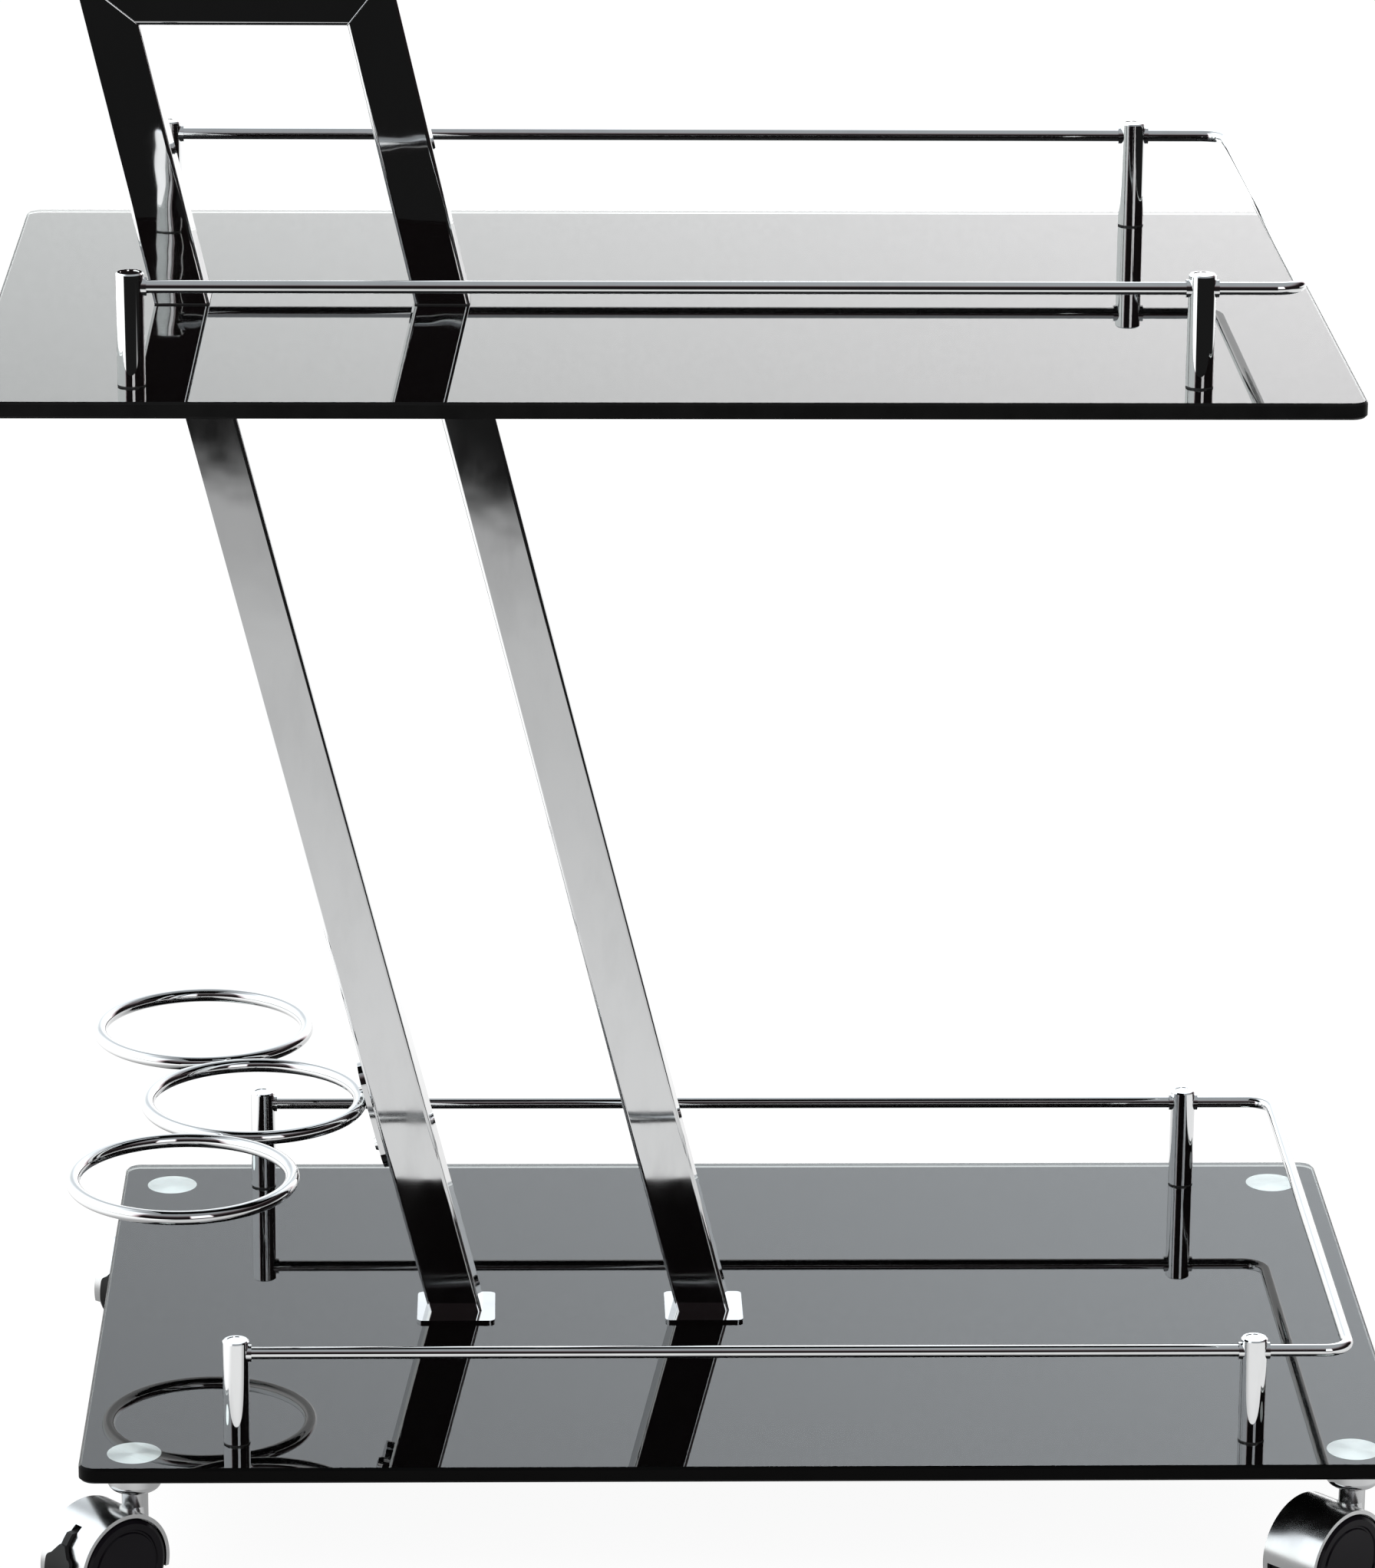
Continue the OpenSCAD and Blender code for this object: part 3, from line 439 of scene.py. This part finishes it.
def make_world():
    """Mirrors and glass see the studio, the camera sees white, and all else is evenly lit."""
    world = bpy.data.worlds.new("studio")
    world.use_nodes = True
    bpy.context.scene.world = world
    tree = Tree(world.node_tree)
    studio = tree.glow("ShaderNodeBackground", *wall_level_and_tint(tree))
    soft = tree.glow("ShaderNodeBackground", SOFT_WORLD)
    white = tree.glow("ShaderNodeBackground", 1.0)
    path = tree.add("ShaderNodeLightPath").outputs
    mirrored = tree.math("MAXIMUM", path["Is Glossy Ray"], path["Is Transmission Ray"])
    seen = tree.mix_shader(path["Is Camera Ray"], tree.mix_shader(mirrored, soft, studio), white)
    tree.put(tree.add("ShaderNodeOutputWorld").inputs["Surface"], seen)


def sweep_level(tree):
    """Painted light of the floor, as mirrors see it, with a painted shadow under the cart."""
    x, y, _ = tree.split(tree.add("ShaderNodeNewGeometry").outputs["Position"])
    level_left, unmoved, level_right = SWEEP_SLANT_X
    slant = tree.math("SUBTRACT", tree.held(x, level_left, level_right), unmoved)
    slant = tree.math("MULTIPLY", slant, SWEEP_FRONT_SLANT)
    front = tree.smooth(tree.math("SUBTRACT", y, slant), *SWEEP_FRONT_Y)
    side = tree.math("MAXIMUM", tree.smooth(x, *SWEEP_RIGHT_X), tree.smooth(y, *SWEEP_BEHIND_Y))
    # Painted light: the glow fades far in front, and is brighter nearer the cart, behind and to the
    # left
    white = tree.math("ADD", tree.smooth(y, *SWEEP_FAR_Y, *SWEEP_FAR_PAINTED_LIGHT),
                      tree.smooth(y, *SWEEP_NEAR_Y, *SWEEP_NEAR_PAINTED_LIGHT))
    white = tree.mix_float(tree.smooth(y, *SWEEP_BACK_Y), white, SWEEP_BACK_PAINTED_LIGHT)
    white = tree.mix_float(tree.smooth(x, *SWEEP_LEFT_X), white, SWEEP_LEFT_PAINTED_LIGHT)
    # Painted shadow: the glow is dimmed under the cart
    under = tree.math("MULTIPLY", tree.smooth(tree.math("ABSOLUTE", x), *SWEEP_UNDER_X),
                      tree.smooth(tree.math("ABSOLUTE", y), *SWEEP_UNDER_Y))
    white = tree.math("MULTIPLY", white, tree.mix_float(under, 1.0, SWEEP_UNDER_PAINTED_SHADOW))
    return tree.mix_float(tree.math("MULTIPLY", front, side), DARK_FLOOR, white)


def make_floor():
    bpy.ops.mesh.primitive_plane_add(size=FLOOR_SIZE)
    floor = bpy.context.object
    floor.name = "floor"
    material = bpy.data.materials.new("floor")
    material.use_nodes = True
    tree = Tree(material.node_tree)
    # All rays but the camera's see the floor glow with the sweep's painted light and painted shadow
    mirrored = tree.glow("ShaderNodeEmission", sweep_level(tree))
    plain = tree.filled(tree.add("ShaderNodeBsdfDiffuse"), (grey(FLOOR_GREY),)).outputs[0]
    glow = tree.glow("ShaderNodeEmission", FLOOR_GLOW)
    pale = tree.filled(tree.add("ShaderNodeAddShader"), (plain, glow)).outputs[0]
    camera_ray = tree.add("ShaderNodeLightPath").outputs["Is Camera Ray"]
    seen = tree.mix_shader(camera_ray, mirrored, pale)
    tree.put(tree.add("ShaderNodeOutputMaterial").inputs["Surface"], seen)
    floor.data.materials.append(material)


def make_lamps():
    for name, (place, side, power) in LAMPS.items():
        data = bpy.data.lights.new(name, "AREA")
        data.shape = "RECTANGLE"
        data.size = data.size_y = side
        data.energy = power
        lamp = bpy.data.objects.new(name, data)
        lamp.location = place
        away = Vector(place) - Vector(LAMP_AIM)
        lamp.rotation_euler = away.to_track_quat("Z", "Y").to_euler()
        lamp.visible_glossy = False
        lamp.visible_camera = False
        bpy.context.scene.collection.objects.link(lamp)


# Finishes for the nodes that stay as they are

def assign(material, *names):
    for name in names:
        slots = NODES[name].data.materials
        slots.clear()
        slots.append(material)


def matching(*words):
    return sorted(name for name in NODES if any(word in name for word in words))


def dress_nodes():
    """A later line takes over the nodes that an earlier one also names."""
    # The chrome's reflect differs from part to part as painted light and shade: lighter on the
    # rails and posts, darker on the rings and hoods
    assign(CHROME_TUBE, *matching("handle_"))
    assign(chrome("chrome_leg", rough=(0.035, 0.075), wave_scale=52.0, wave_height=0.00004),
           *matching("lower_"))
    assign(chrome("chrome_plate", wave_scale=60.0), *matching("base_plate", "ring_bracket"))
    assign(chrome("chrome_rod", reflect=0.78, wave_scale=30.0), "top_rail", "bottom_rail")
    assign(chrome("chrome_post", reflect=0.80, wave_scale=40.0), *matching("_post"))
    assign(chrome("chrome_ring", reflect=0.64, wave_scale=30.0), *matching("bottle_ring"))
    assign(chrome("chrome_disc"), *matching("caster_mount"))
    assign(chrome("chrome_hood", reflect=0.62, rough=(0.18, 0.26), wave_scale=50.0),
           *matching("caster_hood"))
    assign(black_plastic("wheel_plastic", shade=0.006, rough=(0.08, 0.18), grain_scale=1400.0,
                         grain_height=0.000008, tint=PLUM, gloss=0.12), *matching("_wheel"))
    assign(black_plastic("pedal_plastic", shade=0.008, rough=(0.34, 0.5), grain_scale=2200.0,
                         grain_height=0.00003, gloss=0.2), *matching("brake_pedal"))
    assign(zinc_steel("zinc_steel"),
           *matching("stem", "axle", "studs", "bolts", "nuts", "end_plates",
                     "post_washers", "post_screws"))
    assign(black_plastic("gasket_rubber", shade=0.016, rough=(0.55, 0.72), grain_scale=2600.0,
                         grain_height=0.00003),
           *matching("gaskets", "bolt_washers", "swivel_washers"))
    assign(chrome("chrome_screw"), "ring_bracket_screws")


# The shelf glass

def glass_pane(name, node, front_edge, underside):
    """A clear slab in the place of the shelf: polished top, black front edge, ground edges
    and painted back."""
    low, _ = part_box(node)
    mesh = NODES[node].data.copy()
    mesh.name = name
    mesh.materials.clear()
    for material in (POLISHED, front_edge, GROUND, underside):
        mesh.materials.append(material)
    top, front, edge, bottom = range(4)
    for polygon in mesh.polygons:
        normal = polygon.normal
        at_front = normal.y < FRONT_NORMAL and polygon.center.y < low.y + EDGE_DEPTH
        polygon.material_index = (top if normal.z > LEVEL_NORMAL else
                                  bottom if normal.z < -LEVEL_NORMAL else
                                  front if at_front else edge)
    for vertex in mesh.vertices:
        vertex.co.z = max(vertex.co.z, low.z + UNDERSIDE_LIFT)
    pane = bpy.data.objects.new(name, mesh)
    bpy.context.scene.collection.objects.link(pane)
    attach(pane, "frame")
    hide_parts(node)


def make_glass():
    low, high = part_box("bottom_glass_shelf")
    glass_pane("top_glass_pane", "top_glass_shelf",
               dark_front_edge("top_glass_edge", TOP_EDGE_PAINTED_SHADE),
               back_paint("top_glass_pane_paint"))
    glass_pane("bottom_glass_pane", "bottom_glass_shelf",
               dark_front_edge("bottom_glass_edge", BOTTOM_EDGE_PAINTED_SHADE),
               back_paint("bottom_glass_pane_paint", centre=(low + high) / 2))


# Weld seams round the handle's two mitres

def swept_loop(name, path, radius, sides=8):
    """A thin closed bead along path, a list of points."""
    mesh = bmesh.new()
    turns = [2 * math.pi * k / sides for k in range(sides)]
    rings = []
    side = None
    for place, before, after in zip(path, path[-1:] + path[:-1], path[1:] + path[:1]):
        along = (after - before).normalized()
        side = along.orthogonal() if side is None else side - along * side.dot(along)
        side.normalize()
        up = along.cross(side)
        rings.append([mesh.verts.new(place + radius * (side * math.cos(turn) + up * math.sin(turn)))
                      for turn in turns])
    for ring, following in zip(rings, rings[1:] + rings[:1]):
        shift = min(range(sides), key=lambda k: (following[k].co - ring[0].co).length)
        for k in range(sides):
            mesh.faces.new((ring[k], ring[(k + 1) % sides],
                            following[(k + 1 + shift) % sides], following[(k + shift) % sides]))
    for face in mesh.faces:
        face.smooth = True
    bmesh.ops.recalc_face_normals(mesh, faces=mesh.faces[:])
    data = bpy.data.meshes.new(name)
    mesh.to_mesh(data)
    mesh.free()
    bead = bpy.data.objects.new(name, data)
    bpy.context.scene.collection.objects.link(bead)
    return bead


def rounded_frame(centre, slant, across):
    """Points round the rectangle with these two half sides, each corner rounded like the tube's."""
    slant_round, across_round = WELD_ROUND / slant.length, WELD_ROUND / across.length
    points = []
    for quarter, (a, b) in enumerate(((1, 1), (-1, 1), (-1, -1), (1, -1))):
        for step in range(WELD_CORNER_STEPS + 1):
            turn = math.pi / 2 * (quarter + step / WELD_CORNER_STEPS)
            points.append(centre
                          + slant * (a * (1 - slant_round) + slant_round * math.cos(turn))
                          + across * (b * (1 - across_round) + across_round * math.sin(turn)))
    return points


def make_handle_welds():
    """Each mitre runs from the outer top corner of the bar to the inner corner under it."""
    low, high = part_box("handle_top_bar")
    tube = high.z - low.z
    across = Vector((0.0, (high.y - low.y) / 2, 0.0))
    for name, corner_x, inward, angle in (
            ("handle_left_weld", low.x, 1, 90 - HANDLE_LEAN),
            ("handle_right_weld", high.x, -1, 90 + HANDLE_LEAN)):
        run = inward * tube / math.tan(math.radians(angle) / 2)
        centre = Vector((corner_x + run / 2, (low.y + high.y) / 2, high.z - tube / 2))
        slant = Vector((run, 0.0, -tube)) / 2
        bead = swept_loop(name, rounded_frame(centre, slant, across), WELD_RADIUS)
        bead.data.materials.append(CHROME_TUBE)
        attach(bead, "frame")


make_camera()
make_world()
make_floor()
make_lamps()
CHROME_TUBE = chrome("chrome_tube", wave_scale=52.0, wave_height=0.00011)
dress_nodes()
make_handle_welds()
POLISHED = glass("polished_glass", CLEAR_GREEN, rough=(0.0, 0.004), ripple_scale=9.0,
                 ripple_height=0.000004)
GROUND = glass("ground_glass", GROUND_GREEN, rough=(0.42, 0.60), ripple_scale=700.0,
               ripple_height=0.00002)
make_glass()

scene = bpy.context.scene
scene.view_settings.view_transform = "Standard"
